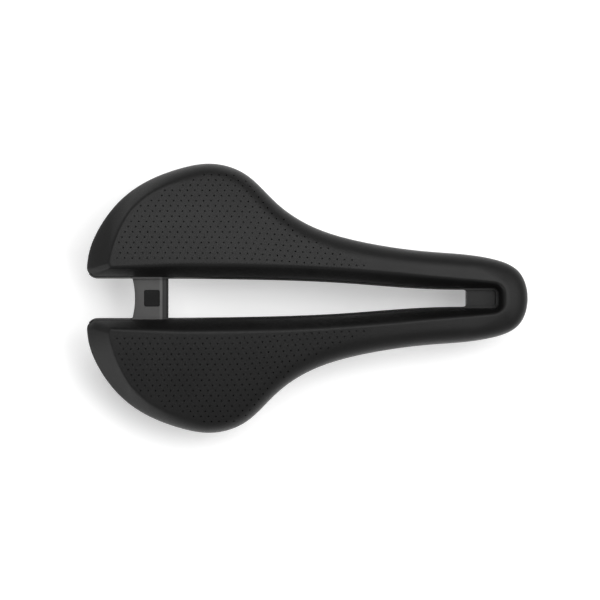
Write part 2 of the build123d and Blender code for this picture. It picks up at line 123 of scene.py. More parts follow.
class Finish(Nodes):
    def __init__(self, name):
        self.material = bpy.data.materials.new(name)
        self.material.use_nodes = True
        super().__init__(self.material.node_tree)

    def place(self):
        return self.node("ShaderNodeTexCoord", out=3)

    def axes(self):
        split = self.node("ShaderNodeSeparateXYZ", sockets={0: self.place()})
        return [split.other(axis) for axis in "XYZ"]

    def noise(self, scale, detail=3.0, rough=0.55, vector=None):
        return self.node("ShaderNodeTexNoise", {"noise_dimensions": "3D"},
                         {"Vector": vector or self.place(), "Scale": scale, "Detail": detail,
                          "Roughness": rough})

    def cells(self, scale, feature="F1"):
        return self.node("ShaderNodeTexVoronoi", {"feature": feature},
                         {"Vector": self.place(), "Scale": scale})

    def blend(self, amount, low, high):
        return self.node("ShaderNodeMix", {"data_type": "RGBA"}, {0: amount, 6: low, 7: high}, 2)

    def bump(self, height, strength, distance):
        return self.node("ShaderNodeBump", sockets={"Height": height, "Strength": strength,
                                                    "Distance": distance})

    def done(self, shader):
        self.node("ShaderNodeOutputMaterial", sockets={0: shader})
        return self.material

    def surface(self, **sockets):
        return self.done(self.node("ShaderNodeBsdfPrincipled", sockets=sockets))


def grey(level, warm=0.0):
    return (level * (1 + warm), level, level * (1 - warm), 1.0)


# Leather: fine pebbled hide, nearly black and a little uneven in tone and gloss
leather = {
    "dark": 0.0018,
    "light": 0.0036,
    "rough": 0.41,
    "shine": 0.15,
    "grain": 1250.0,
    "pebble": 520.0,
    "relief": (0.35, 0.00012),    # strength, and distance in metres
}


def leatherFinish():
    f = Finish("coverLeather")
    wide = f.noise(38.0, 4.0)
    fine = f.noise(900.0, 2.0)
    pebble = f.cells(leather["grain"], "DISTANCE_TO_EDGE")
    crease = f.cells(leather["pebble"], "DISTANCE_TO_EDGE")
    tone = wide * 0.6 + fine * 0.4
    colour = f.blend(tone.above(0.5, 0.28), grey(leather["dark"]), grey(leather["light"], 0.02))
    height = pebble.above(0.12, 0.12) * 0.6 + crease.above(0.05, 0.05) * 0.3 + fine * 0.25
    return f.surface(**{
        "Base Color": colour,
        "Roughness": leather["rough"] + (wide - 0.5) * 0.16 + (fine - 0.5) * 0.10,
        "Specular IOR Level": leather["shine"],
        "Normal": f.bump(height, *leather["relief"]),
    })


# One noise shades the colour, the roughness and the relief together
def plainFinish(name, grain, low, high, rough, relief, metallic=0.0):
    f = Finish(name)
    noise = f.noise(grain, 3.0)
    return f.surface(**{
        "Base Color": f.blend(noise, low, high),
        "Metallic": metallic,
        "Roughness": rough[0] + noise * rough[1],
        "Normal": f.bump(noise, *relief),
    })


def foamFinish():
    f = Finish("padFoam")
    pores = f.cells(1500.0)
    mottled = f.noise(240.0, 4.0)
    return f.surface(**{
        "Base Color": f.blend(mottled, grey(0.012), grey(0.03)),
        "Roughness": 0.86 + mottled * 0.1,
        "Normal": f.bump(pores, 0.6, 0.0003),
    })


# Shell: spark-textured glass-filled nylon. Its top deck is painted paler where it faces up, and
# darker ahead of the bridge as painted shade in the channel and the nose pit. The bridge's rim and
# bead are painted highlights, and its groove and dark lip painted shade: bands of tone only, with
# no relief of their own. Each place is a position and half its fade, in metres; each share is how
# far the tone shifts.
shell = {
    "dark": 0.006,
    # light: the tone painted on the deck's top where it faces up
    "light": 0.095,
    "rough": 0.44,
    "shine": 0.11,
    "litDeckZ": (0.0345, 0.0015),
    "pitShadeX": (-0.06, 0.01),
    "pitShadeShare": 0.93,
    "hollow": 14.0,               # bow of the bridge's rear edge, per metre
    # rim and bead: painted highlights; groove and lip: painted shade
    "rimHighlightX": (-0.0980, 0.0002),
    "rimHighlightShare": 0.3,
    "grooveShadeX": ((-0.0981, 0.0002), (-0.0975, 0.0003)),
    "grooveShadeShare": 0.8,
    "beadHighlightX": ((-0.0838, 0.0004), (-0.0824, 0.0004)),
    "beadHighlightShare": 0.5,
    "lipShadeX": ((-0.0822, 0.0005), (-0.0760, 0.001)),
    "lipShadeShare": 0.75,
}


def shellFinish():
    f = Finish("shellNylon")
    spark = f.noise(2400.0, 2.0)
    flow = f.noise(60.0, 4.0)
    x, y, z = f.axes()
    back = x + y * y * shell["hollow"]
    # the top deck painted paler where it faces up, with painted shade ahead of the bridge
    deckPaintedLight = z.above(*shell["litDeckZ"]) * (1 - x.above(*shell["pitShadeX"]) * shell["pitShadeShare"])
    # painted highlights on the bridge's rim and bead, painted shade in its groove and on its dark
    # lip
    deckPaintedLight = deckPaintedLight * (1 - back.above(*shell["rimHighlightX"]) * shell["rimHighlightShare"])
    deckPaintedLight = deckPaintedLight * (1 + x.band(shell["beadHighlightX"]) * shell["beadHighlightShare"])
    deckPaintedLight = deckPaintedLight * (1 - back.band(shell["grooveShadeX"]) * shell["grooveShadeShare"])
    deckPaintedLight = deckPaintedLight * (1 - x.band(shell["lipShadeX"]) * shell["lipShadeShare"])
    colour = f.blend(deckPaintedLight * (0.7 + flow * 0.5), grey(shell["dark"]), grey(shell["light"], 0.01))
    return f.surface(**{
        "Base Color": colour,
        "Roughness": shell["rough"] + (spark - 0.5) * 0.18 - (flow - 0.5) * 0.1,
        "Specular IOR Level": shell["shine"],
        "Normal": f.bump(spark + flow * 0.3, 0.22, 0.0001),
    })


clamp = {"dark": 0.0176, "light": 0.0264, "rough": 0.5}


def clampFinish():
    f = Finish("clampNylon")
    spark = f.noise(2200.0, 2.0)
    flow = f.noise(90.0, 3.0)
    return f.surface(**{
        "Base Color": f.blend(flow, grey(clamp["dark"]), grey(clamp["light"])),
        "Roughness": clamp["rough"] + (spark - 0.5) * 0.15,
        "Normal": f.bump(spark, 0.2, 0.00008),
    })


plug = {"dark": 0.003, "light": 0.006, "rough": 0.08, "shine": 0.15}


def plugFinish():
    f = Finish("plugGloss")
    haze = f.noise(55.0, 3.0)
    swell = f.noise(210.0, 1.0)
    return f.surface(**{
        "Base Color": f.blend(haze, grey(plug["dark"]), grey(plug["light"])),
        "Roughness": plug["rough"] + haze * 0.05,
        "Specular IOR Level": plug["shine"],
        "Normal": f.bump(swell, 0.35, 0.0003),
    })


def railFinish():
    f = Finish("railSteel")
    stretched = f.node("ShaderNodeMapping", sockets={0: f.place(), 3: (40.0, 900.0, 900.0)})
    brushed = f.noise(1.0, 4.0, 0.6, stretched)
    cloud = f.noise(70.0, 3.0)
    return f.surface(**{
        "Base Color": f.blend(cloud, grey(0.24), grey(0.32, 0.01)),
        "Metallic": 1.0,
        "Roughness": 0.27 + brushed * 0.16,
        "Normal": f.bump(brushed, 0.12, 0.00005),
    })


def screwFinish():
    f = Finish("screwBlackOxide")
    turned = f.noise(1400.0, 3.0)
    wear = f.noise(420.0, 4.0)
    return f.surface(**{
        "Base Color": f.blend(wear.above(0.62, 0.08), grey(0.045), grey(0.2, 0.02)),
        "Metallic": 1.0,
        "Roughness": 0.34 + turned * 0.2,
        "Normal": f.bump(turned, 0.1, 0.00005),
    })


coverLeather = leatherFinish()
coverCutEdge = plainFinish("coverCutEdge", grain=2600.0, low=grey(0.003), high=grey(0.009),
                           rough=(0.75, 0.2), relief=(0.5, 0.0001))
padFoam = foamFinish()
# the first key found in a part's name gives its finish
finishes = {
    "sit_pad": plainFinish("sitGel", grain=160.0, low=(0.012, 0.02, 0.03, 1),
                           high=(0.02, 0.032, 0.045, 1), rough=(0.28, 0.12),
                           relief=(0.2, 0.0003)),
    "shell": shellFinish(),
    "sleeve": plainFinish("sleeveRubber", grain=1500.0, low=grey(0.010), high=grey(0.020),
                          rough=(0.66, 0.16), relief=(0.2, 0.0001)),
    "screw": screwFinish(),
    "insert": plainFinish("insertBrass", grain=1100.0, low=(0.55, 0.36, 0.12, 1),
                          high=(0.72, 0.5, 0.2, 1), rough=(0.24, 0.18),
                          relief=(0.12, 0.00005), metallic=1.0),
    "rail": railFinish(),
    "clamp": clampFinish(),
    "plug": plugFinish(),
}
print("finishes made")

# The saddle's form, in millimetres
saddle = {
    "length": 250.0,
    "width": 154.0,
    "noseWidth": 48.0,
    "stack": 50.0,                # crown above the rails' underside, at the waist
    "waistX": 15.0,
    "rearRise": 4.5,
    "noseDrop": 3.5,
    "crownRadii": (340.0, 150.0),  # tail, nose
    "deckRadii": (600.0, 120.0),
    "foamDepth": (13.0, 11.0),
    # shares of the length and of half the width, from the tail round the wing
    "wing": [(-0.4994, 0.13), (-0.4944, 0.330), (-0.4736, 0.504), (-0.405, 0.778),
             (-0.291, 0.960), (-0.222, 0.9975), (-0.145, 0.926), (-0.072, 0.708),
             (0.010, 0.530)],
    # shares of the length and of half the nose's width
    "nose": [(0.12, 1.342), (0.284, 1.096), (0.421, 0.929), (0.480, 0.629)],
    "skirt": [(-125.0, 36.0), (-57.5, 22.5), (0.0, 23.0), (75.0, 22.0), (125.0, 26.0)],
}
half = saddle["length"] / 2

# Cover: how its edge rolls over, all round, and where it meets the channel
cover = {
    "thickness": 1.2,
    "sharpAngle": 35.0,
    "gap": 0.15,
    "hem": 3.65,
    "hemRound": 1.4,
    "drop": 11.0,
    "channel": [(-119.4, 12.1), (-40.0, 11.7), (20.0, 9.6), (87.5, 5.8)],
    "channelFront": 108.7,
    "frontCorner": 3.5,
    "tailCorner": 5.5,
    # outer edge, by x: width of the roll, and how straight its facet is (0 a round, 1 a bevel)
    "outerWidth": [(-125, 14.5), (-111, 13.6), (-106, 11.4), (-100, 9.3), (-90, 8.2), (-80, 8.0),
                   (-70, 8.8), (-50, 11.0), (-25, 14.0), (20, 15.0), (60, 13.5), (96, 13.5),
                   (110, 14.0), (125, 15.0)],
    "outerStraight": [(-125, 0.86), (-100, 0.86), (-88, 0.6), (-72, 0.22), (-58, 0.0),
                      (92, 0.0), (112, 0.3), (125, 0.32)],
    # share of each width that rounds off its crease
    "outerSoft": [(-125, 0.1), (-95, 0.12), (-72, 0.3), (-50, 0.5), (95, 0.5), (112, 0.3),
                  (125, 0.3)],
    # how tight the round is: 2 a quarter circle, more a flank that turns late
    "outerTight": [(-125, 2.0), (-70, 2.0), (-45, 2.4), (90, 2.4), (112, 5.0), (125, 6.0)],
    # edge along the channel, by x, in the same terms
    "innerWidth": [(-125, 5.6), (-110, 6.0), (-95, 6.7), (-70, 7.9), (-13, 8.0), (53, 7.5),
                   (80, 6.2), (100, 4.6), (109, 4.2), (118, 4.2)],
    "innerStraight": [(-125, 0.75), (70, 0.75), (100, 0.5), (112, 0.2)],
    "innerSoft": [(-125, 0.28), (92, 0.28), (104, 0.5), (112, 0.9)],
    "wall": 1.0,                  # upright strip at the channel's foot
}
# Ribs of the mesh: a station on the channel, the spine between, and one on the outline
ribs = [
    ((-112.0, 12.1), (-110.0, 23.0), (-122.5, 30.0)),
    ((-90.0, 12.0), (-90.0, 38.0), (-101.0, 60.0)),
    ((-62.0, 11.9), (-61.0, 45.0), (-59.0, 76.5)),
    ((-38.0, 11.7), (-34.0, 38.0), (-27.0, 63.6)),
    ((-5.0, 10.7), (-3.0, 26.0), (2.6, 40.8)),
    ((45.0, 8.2), (46.0, 18.6), (50.0, 28.5)),
    ((88.0, 5.8), (89.0, 15.0), (91.6, 24.0)),
    ((105.2, 5.8), (107.0, 12.5), (111.0, 20.8)),
    ((108.7, 2.3), (115.5, 5.0), (123.5, 8.6)),
    ((108.7, 0.0), (116.8, 0.0), (125.0, 0.0)),
]


def spline(points, count, startSlope, endSlope):
    points = np.array(points, float)
    gaps = np.linalg.norm(np.diff(points, axis=0), axis=1)
    knots = np.concatenate([[0], np.cumsum(gaps)])
    size = len(points)
    matrix = np.zeros((size, size))
    right = np.zeros((size, points.shape[1]))
    matrix[0, 0] = matrix[-1, -1] = 1
    right[0], right[-1] = startSlope, endSlope
    for i in range(1, size - 1):
        before, after = gaps[i - 1], gaps[i]
        matrix[i, i - 1:i + 2] = after, 2 * (before + after), before
        right[i] = 3 * (after * (points[i] - points[i - 1]) / before
                        + before * (points[i + 1] - points[i]) / after)
    slopes = np.linalg.solve(matrix, right)
    at = np.linspace(0, knots[-1], count)
    index = np.clip(np.searchsorted(knots, at, side="right") - 1, 0, size - 2)
    gap = gaps[index][:, None]
    t = ((at - knots[index]) / gaps[index])[:, None]
    a, b = points[index], points[index + 1]
    return ((2 * t**3 - 3 * t**2 + 1) * a + (t**3 - 2 * t**2 + t) * gap * slopes[index]
            + (3 * t**2 - 2 * t**3) * b + (t**3 - t**2) * gap * slopes[index + 1])


def lengths(line):
    return np.concatenate([[0], np.cumsum(np.linalg.norm(np.diff(line, axis=0), axis=1))])


def whereOn(line, point):
    return lengths(line)[np.argmin(np.linalg.norm(line - np.array(point), axis=1))]


def pickOn(line, at):
    along = lengths(line)
    return np.column_stack([np.interp(at, along, line[:, i]) for i in range(line.shape[1])])


def eased(x, stations):
    xs, values = np.array(stations, float).T
    index = np.clip(np.searchsorted(xs, x, side="right") - 1, 0, len(xs) - 2)
    t = np.clip((x - xs[index]) / (xs[index + 1] - xs[index]), 0, 1)
    return values[index] + (values[index + 1] - values[index]) * t * t * (3 - 2 * t)


def straight(x, stations):
    xs, values = np.array(stations, float).T
    return np.interp(x, xs, values)


def crownHeight(x):
    behind = saddle["rearRise"] * ((saddle["waistX"] - x) / (half + saddle["waistX"]))**2
    ahead = -saddle["noseDrop"] * ((x - saddle["waistX"]) / (half - saddle["waistX"]))**2
    return saddle["stack"] + np.where(x < saddle["waistX"], behind, ahead)


def share(x):
    return (x + half) / saddle["length"]


def fall(x, y, radii):
    radius = 1 / (1 / radii[0] + (1 / radii[1] - 1 / radii[0]) * share(x))
    return radius - np.sqrt(radius**2 - y**2)


def padHeight(x, y):
    return crownHeight(x) - fall(x, y, saddle["crownRadii"])


def deckHeight(x, y):
    deep = saddle["foamDepth"]
    foamHere = deep[0] + (deep[1] - deep[0]) * share(x)
    return crownHeight(x) - foamHere - fall(x, y, saddle["deckRadii"])


def edgeDrop(distance, width, bevel, soft, tight=2.0):
    t = np.maximum(0.0, 1 - distance / width)
    t = np.where(t < soft, t * t / (2 * soft), t - soft / 2) / (1 - soft / 2)
    t = np.minimum(t, 1.0)
    return bevel * t + (1 - bevel) * (1 - np.sqrt(np.maximum(0.0, 1 - t**tight)))


# Shortest distance of each point from a line, worked in blocks to spare the memory
def reach(points, line, blockSize=4000):
    starts, ends = line[:-1], line[1:]
    runs = ends - starts
    squares = (runs**2).sum(1)
    best = np.zeros(len(points))
    for first in range(0, len(points), blockSize):
        block = points[first:first + blockSize]
        t = ((block[:, None, :] - starts) * runs).sum(2) / squares
        foot = starts + np.clip(t, 0, 1)[..., None] * runs
        best[first:first + blockSize] = np.linalg.norm(block[:, None, :] - foot, axis=2).min(1)
    return best


def arc(centre, radius, start, end, count):
    turn = np.radians(np.linspace(start, end, count))
    return np.column_stack([centre[0] + radius * np.cos(turn), centre[1] + radius * np.sin(turn)])


def thinned(line, spacing):
    return pickOn(line, np.linspace(0, lengths(line)[-1], int(lengths(line)[-1] / spacing)))


# Outline of one half, from the tail to the tip, and the channel's foot from the tail to the front
fineness = {
    "outline": 1600,
    "foot": 700,
    "spine": 1200,
    "tailArc": 24,
    "frontArc": 40,
    "shared": 10,                 # points of the tail's arc that belong to the other edge
    "outerSpacing": 1.2,
    "innerSpacing": 0.8,
}
halfWidth, halfNose = saddle["width"] / 2, saddle["noseWidth"] / 2
outlinePoints = [(-half, 0.0)]
outlinePoints += [(a * saddle["length"], b * halfWidth) for a, b in saddle["wing"]]
outlinePoints += [(a * saddle["length"], b * halfNose) for a, b in saddle["nose"]]
outlinePoints.append((half, 0.0))
fullOutline = spline(outlinePoints, fineness["outline"], startSlope=(0, 1), endSlope=(0, -1))
corner = cover["tailCorner"]
tailFoot = cover["channel"][0]
outline = fullOutline[np.argmax(fullOutline[:, 1] > tailFoot[1] + corner):]
tailArc = arc((tailFoot[0], tailFoot[1] + corner), corner, 270, 180, fineness["tailArc"])
tailArc[:, 0] += (outline[0, 0] - tailArc[-1, 0]) * np.linspace(0, 1, fineness["tailArc"])**2
front, bend = cover["channelFront"], cover["frontCorner"]
lastWidth = cover["channel"][-1][1]
foot = np.vstack([
    spline(cover["channel"], fineness["foot"], startSlope=(1, 0), endSlope=(1, 0)),
    [[front - bend, lastWidth]],
    arc((front - bend, lastWidth - bend), bend, 90, 0, fineness["frontArc"]),
    [[front, 0.0]],
])
distinct = np.linalg.norm(np.diff(foot, axis=0), axis=1) > 1e-6
foot = foot[np.concatenate([[True], distinct])]
spine = spline([rib[1] for rib in ribs], fineness["spine"], startSlope=(0.6, 0.8),
               endSlope=(0.3, -0.95))
shared = fineness["shared"]
outerEdge = thinned(np.vstack([tailArc[shared:], outline]), fineness["outerSpacing"])
innerEdge = thinned(np.vstack([tailArc[::-1][shared:], foot]), fineness["innerSpacing"])


def coverHeight(points):
    x, y = points[:, 0], points[:, 1]
    top = padHeight(x, y)
    outer = cover["drop"] * edgeDrop(
        reach(points, outerEdge), straight(x, cover["outerWidth"]),
        straight(x, cover["outerStraight"]), straight(x, cover["outerSoft"]),
        straight(x, cover["outerTight"]))
    full = top - deckHeight(x, y) - cover["gap"] - cover["wall"]
    inner = full * edgeDrop(reach(points, innerEdge), straight(x, cover["innerWidth"]),
                            straight(x, cover["innerStraight"]), straight(x, cover["innerSoft"]))
    return top - (outer**4 + inner**4)**0.25


# Rows of the mesh run from the edge to the spine
weave = {
    "step": 1.25,                 # between rows along the outline
    "fewest": 3,
    "fanStep": 0.9,               # between rows round the tail's corner
    "fanGap": 0.3,
    "beforeCrease": 13,
    "afterCrease": 15,
    "closing": 1.25,              # power that draws the columns towards the start of each run
    "creaseTries": 6,
    "creaseStart": 0.2,
    "creaseLimits": (0.05, 0.8),
}
lines = (foot, spine, outline)
stations = [[whereOn(line, rib[i]) for rib in ribs] for i, line in enumerate(lines)]
places = [[], [], []]
for i in range(len(ribs) - 1):
    run = stations[2][i + 1] - stations[2][i]
    count = max(weave["fewest"], int(round(run / weave["step"])))
    t = np.arange(count) / count
    for place, station in zip(places, stations):
        place.extend(station[i] + (station[i + 1] - station[i]) * t)
for place, station in zip(places, stations):
    place.append(station[-1])
footAt, outlineAt = places[0], places[2]
footPoints, spinePoints, outlinePicked = [
    pickOn(line, place) for line, place in zip(lines, places)]
gap = weave["fanGap"]
fan = np.vstack([
    foot[lengths(foot) < footAt[0] - gap][::-1],
    tailArc[1:],
    outline[(lengths(outline) > gap) & (lengths(outline) < outlineAt[0] - gap)],
])
fan = thinned(fan, weave["fanStep"])
edge = np.vstack([footPoints[::-1], fan, outlinePicked])
middle = np.vstack([spinePoints[::-1], np.repeat(spinePoints[:1], len(fan), axis=0), spinePoints])
# 0 along the channel, 1 along the outline, turning over round the tail's corner
fanShare = np.clip((fan[:, 1] - tailFoot[1]) / corner, 0, 1)
turned = np.concatenate([np.zeros(len(footPoints)), fanShare**2 * (3 - 2 * fanShare),
                         np.ones(len(outlinePicked))])

# One column lies on the crease, so that it stays crisp
across = middle - edge
along = np.gradient(edge, axis=0)
slant = np.abs(across[:, 0] * along[:, 1] - across[:, 1] * along[:, 0])
slant /= np.maximum(tiny, np.linalg.norm(along, axis=1))
creaseShare = np.full(len(edge), weave["creaseStart"])
for _ in range(weave["creaseTries"]):
    x = edge[:, 0] + across[:, 0] * creaseShare
    width = (straight(x, cover["innerWidth"]) * (1 - turned)
             + straight(x, cover["outerWidth"]) * turned)
    creaseShare = np.clip(width / np.maximum(tiny, slant), *weave["creaseLimits"])
creaseShare = creaseShare[:, None]
before = (np.arange(weave["beforeCrease"] + 1) / weave["beforeCrease"])**weave["closing"]
after = (np.arange(1, weave["afterCrease"] + 1) / weave["afterCrease"])**weave["closing"]
spread = np.hstack([creaseShare * before, creaseShare + (1 - creaseShare) * after])
flat = edge[:, None, :] + across[:, None, :] * spread[..., None]
height = coverHeight(flat.reshape(-1, 2)).reshape(flat.shape[:2])
print("cover form worked out:", flat.shape)


def gridFaces(rows, columns):
    faces = []
    for r in range(rows - 1):
        for c in range(columns - 1):
            a = r * columns + c
            faces.append((a, a + 1, a + columns + 1, a + columns))
    return faces


# Mirrors half a piece, in millimetres, and welds it along the middle
weld = {
    "onMiddle": 1e-4,             # in millimetres
    "merge": 2e-6,                # in metres, as is the next
    "shortest": 1e-7,
}


def bothSides(name, points, faces, material):
    points = np.asarray(points, float)
    points[np.abs(points[:, 1]) < weld["onMiddle"], 1] = 0.0
    mirrored = points * (1, -1, 1)
    everyPoint = np.vstack([points, mirrored]) * mm
    everyFace = faces + [tuple(len(points) + i for i in reversed(face)) for face in faces]
    mesh = bpy.data.meshes.new(name)
    mesh.from_pydata(everyPoint.tolist(), [], everyFace)
    work = bmesh.new()
    work.from_mesh(mesh)
    bmesh.ops.remove_doubles(work, verts=work.verts, dist=weld["merge"])
    bmesh.ops.dissolve_degenerate(work, edges=work.edges, dist=weld["shortest"])
    bmesh.ops.recalc_face_normals(work, faces=work.faces)
    highest = max(work.faces, key=lambda face: face.calc_center_median().z)
    if highest.normal.z < 0:
        bmesh.ops.reverse_faces(work, faces=work.faces)
    work.to_mesh(mesh)
    work.free()
    mesh.materials.append(material)
    piece = bpy.data.objects.new(name, mesh)
    scene.collection.objects.link(piece)
    return piece


# From the wall's foot or the hem's lip, up the wall, over the edge and on to the spine
def coverSheet():
    x, y = edge.T
    inward = across / np.maximum(tiny, np.linalg.norm(across, axis=1))[:, None]
    tangent = along / np.maximum(tiny, np.linalg.norm(along, axis=1))[:, None]
    side = np.column_stack([-tangent[:, 1], tangent[:, 0]])
    side *= np.sign((side * inward).sum(1))[:, None]
    side[0] = (-1.0, 0.0) if middle[0, 0] < edge[0, 0] else (1.0, 0.0)
    side[-1] = (-1.0, 0.0)
    bottom = (deckHeight(x, y) + cover["gap"]) * (1 - turned) + eased(x, saddle["skirt"]) * turned
    lip = cover["hem"] * turned
    turn = cover["hemRound"] * turned
    rise = height[:, 0] - bottom - turn
    rows = [(lip * part + turn * (1 - part), bottom) for part in (1.0, 0.6, 0.3)]
    for angle in (60, 30, 0):
        a = radians(angle)
        rows.append((turn * (1 - np.cos(a)), bottom + turn * (1 - np.sin(a))))
    for part in (0.15, 0.3, 0.45, 0.6, 0.72, 0.82, 0.9, 0.96):
        rows.append((np.zeros(len(edge)), bottom + turn + rise * part))
    below = np.stack([np.column_stack([edge + side * offset[:, None], level])
                      for offset, level in rows], axis=1)
    above = np.concatenate([flat, height[..., None]], axis=2)
    grid = np.concatenate([below, above], axis=1)
    return grid.reshape(-1, 3), gridFaces(len(edge), grid.shape[1])


points, faces = coverSheet()
coverPiece = bothSides("coverSkin", points, faces, coverLeather)

# Perforations: lattice rows that run with the channel, between the creases and the rolled edge
holes = {
    "radius": 0.5,
    "alongStep": 4.2,
    "acrossStep": 2.95,
    "lean": 0.58,                 # forward shift for each step outwards
    "firstRow": 22.5,
    "rear": -106.9,
    "drift": 4.1,                 # the rows close in with the channel towards the waist
    "front": 34.0,
    "sides": 12,
    "columns": 44,
    "rows": 20,
    "closesFrom": -50.0,          # where the rows start and stop closing in
    "closesTo": 35.0,
    "startHeight": 100.0,         # the lattice drops from here on to the cover
    "dropLength": 200.0,
    "punchDepth": 4.5,
    # clear strip inside the outline, and nearest the channel, by x
    "margin": [(-125, 16.0), (-108, 13.0), (-97, 10.3), (-71, 9.0), (-62, 7.2), (-48, 4.6),
               (-33, 3.4), (-24, 3.4), (-5, 6.0), (12, 7.5), (24, 10.0), (34, 13.0)],
    "inside": [(-125, 21.0), (-50, 21.0), (40, 17.4)],
    "rearLine": [(19.0, -108.5), (31.4, -108.0), (40.4, -102.6), (49.1, -97.0), (60.0, -90.0)],
}


def perforationMask(positions):
    x, y = positions[:, 0], np.abs(positions[:, 1])
    here = np.column_stack([x, y])
    clearOfEdge = reach(here, outerEdge) > straight(x, holes["margin"])
    clearOfChannel = y > straight(x, holes["inside"])
    between = (x > straight(y, holes["rearLine"])) & (x < holes["front"])
    return (clearOfEdge & clearOfChannel & between).astype(np.float32)


mesh = coverPiece.data
positions = np.zeros(len(mesh.vertices) * 3, np.float32)
mesh.vertices.foreach_get("co", positions)
positions = positions.reshape(-1, 3) / mm
mask = mesh.attributes.new("perforate", "FLOAT", "POINT")
mask.data.foreach_set("value", perforationMask(positions.astype(float)))
wall = coverPiece.modifiers.new("wall", "SOLIDIFY")
wall.thickness = cover["thickness"] * mm
wall.offset = -1.0
wall.use_even_offset = False
wall.use_rim = True


def perforationTree():
    group = bpy.data.node_groups.new("perforations", "GeometryNodeTree")
    group.is_modifier = True
    group.interface.new_socket("Geometry", in_out="OUTPUT", socket_type="NodeSocketGeometry")
    for label, kind, value in (
            ("Geometry", "Geometry", None),
            ("Hole Radius", "Float", holes["radius"] * mm),
            ("Step Along", "Float", holes["alongStep"] * mm),
            ("Step Across", "Float", holes["acrossStep"] * mm),
            ("Lean", "Float", holes["lean"]),
            ("First Row", "Float", holes["firstRow"] * mm),
            ("Rear Start", "Float", holes["rear"] * mm),
            ("Drift", "Float", holes["drift"] * mm),
            ("Columns", "Int", holes["columns"]),
            ("Rows", "Int", holes["rows"]),
            ("Sides", "Int", holes["sides"]),
            ("Cut Edge", "Material", None),
            ("Leather", "Material", None)):
        made = group.interface.new_socket(label, in_out="INPUT", socket_type="NodeSocket" + kind)
        if value is not None:
            made.default_value = value
    tree = Nodes(group)
    outputs = tree.node("NodeGroupInput").socket.node.outputs
    given = {socket.name: Wire(tree, socket) for socket in outputs if socket.name}

    def named(kind, name):
        return tree.node("GeometryNodeInputNamedAttribute", {"data_type": kind}, {"Name": name})

    def stored(kind, name, geometry, value):
        return tree.node("GeometryNodeStoreNamedAttribute", {"data_type": kind, "domain": "POINT"},
                         {"Geometry": geometry, "Name": name, "Value": value})

    # a lattice of points over both sides, above the cover
    index = tree.node("GeometryNodeInputIndex")
    total = given["Columns"] * given["Rows"]
    cloud = tree.node("GeometryNodePoints", sockets={"Count": total * 2.0})
    local = index % total
    column = local % given["Columns"]
    row = (local / given["Columns"]).floor()
    sign = 1.0 - (index / total).floor() * 2.0
    out = row * given["Step Across"]
    lean = out * given["Lean"]
    back = (lean / given["Step Along"]).floor() * given["Step Along"]
    x = (given["Rear Start"] + column * given["Step Along"]) + (lean - back)
    closing = x.ranged(holes["closesFrom"] * mm, holes["closesTo"] * mm, 0.0, given["Drift"])
    y = (given["First Row"] + out - closing) * sign
    where = tree.node("ShaderNodeCombineXYZ", sockets={0: x, 1: y, 2: holes["startHeight"] * mm})
    placed = tree.node("GeometryNodeSetPosition", sockets={"Geometry": cloud, "Position": where})

    # each point keeps its place on the cover, if the cover wants a hole there
    ray = tree.node("GeometryNodeRaycast", {"data_type": "FLOAT"},
                    {"Target Geometry": given["Geometry"], "Attribute": named("FLOAT", "perforate"),
                     "Ray Direction": (0.0, 0.0, -1.0), "Ray Length": holes["dropLength"] * mm})
    enough = tree.node("FunctionNodeCompare", {"data_type": "FLOAT", "operation": "GREATER_THAN"},
                       {0: ray.other("Attribute"), 1: 0.5})
    both = tree.node("FunctionNodeBooleanMath", {"operation": "AND"},
                     {0: ray.other("Is Hit"), 1: enough})
    # the ray is read while the points still stand above the cover
    leaning = stored("FLOAT_VECTOR", "lie", placed, ray.other("Hit Normal"))
    kept = stored("BOOLEAN", "chosen", leaning, both)
    down = tree.node("GeometryNodeSetPosition",
                     sockets={"Geometry": kept, "Position": ray.other("Hit Position")})

    # a punch stands along the cover's normal at each, and cuts through it
    turn = tree.node("FunctionNodeAlignRotationToVector", {"axis": "Z"},
                     {"Vector": named("FLOAT_VECTOR", "lie")})
    punch = tree.node("GeometryNodeMeshCylinder", {"fill_type": "NGON"},
                      {"Vertices": given["Sides"], "Radius": given["Hole Radius"],
                       "Depth": holes["punchDepth"] * mm})
    painted = tree.node("GeometryNodeSetMaterial",
                        sockets={"Geometry": punch, "Material": given["Cut Edge"]})
    stood = tree.node("GeometryNodeInstanceOnPoints",
                      sockets={"Points": down, "Selection": named("BOOLEAN", "chosen"),
                               "Instance": painted, "Rotation": turn})
    punches = tree.node("GeometryNodeRealizeInstances", sockets={"Geometry": stood})
    cut = tree.node("GeometryNodeMeshBoolean", {"operation": "DIFFERENCE", "solver": "MANIFOLD"},
                    {"Mesh 1": given["Geometry"], "Mesh 2": punches})
    real = tree.node("GeometryNodeRealizeInstances", sockets={"Geometry": cut})
    raw = tree.node("GeometryNodeMaterialSelection", sockets={"Material": given["Cut Edge"]})
    covered = tree.node("FunctionNodeBooleanMath", {"operation": "NOT"}, {0: raw})
    done = tree.node("GeometryNodeSetMaterial", sockets={"Geometry": real, "Selection": covered,
                                                         "Material": given["Leather"]})
    tree.node("NodeGroupOutput", sockets={0: done})
    return group


punched = coverPiece.modifiers.new("perforations", "NODES")
punched.node_group = perforationTree()
punchedWith = {"Cut Edge": coverCutEdge, "Leather": coverLeather}
for item in punched.node_group.interface.items_tree:
    if item.in_out == "INPUT" and item.name in punchedWith:
        punched[item.identifier] = punchedWith[item.name]


def smooth(piece, angle):
    piece.data.shade_smooth()
    piece.data.set_sharp_from_angle(angle=radians(angle))


# Turns the modifiers into a plain mesh
def settle(piece):
    shown = piece.evaluated_get(bpy.context.evaluated_depsgraph_get())
    final = bpy.data.meshes.new_from_object(shown)
    piece.modifiers.clear()
    piece.data = final


settle(coverPiece)
smooth(coverPiece, cover["sharpAngle"])
print("cover made:", len(coverPiece.data.polygons), "faces")
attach(coverPiece, "saddle")
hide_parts("cover")

